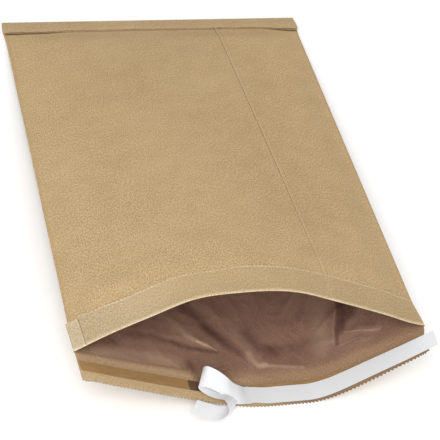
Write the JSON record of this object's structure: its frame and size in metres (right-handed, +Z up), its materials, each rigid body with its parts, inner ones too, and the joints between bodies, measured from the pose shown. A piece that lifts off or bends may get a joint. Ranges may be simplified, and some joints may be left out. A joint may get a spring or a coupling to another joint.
{
  "type": "padded envelope",
  "caption": "Padded kraft mailing envelope lying flat, open at a lens-shaped mouth with a turned-back cuff, and a lip with a glue strip under a half-peeled release liner.",
  "frame": {"origin": "on the floor, under the middle of the box round all pieces", "axes": "+Z up, +Y along the envelope to its closed end, -Y out of the mouth, +X to the right seen from the mouth"},
  "size_m": [0.319, 0.5318, 0.1016],
  "materials": {
    "outer_wrapper": "matt kraft paper",
    "inner_liner": "matt creased kraft paper",
    "front_padding": "matt mat of paper fibre",
    "back_padding": "matt mat of paper fibre",
    "adhesive_strip": "clear amber film of glue, satin",
    "release_liner": "smooth coated white paper, satin"
  },
  "bodies": {
    "root": {"outer_wrapper": "outer_wrapper", "inner_liner": "inner_liner", "front_padding": "front_padding", "back_padding": "back_padding", "adhesive_strip": "adhesive_strip", "release_liner": "release_liner"}
  },
  "joints": []
}
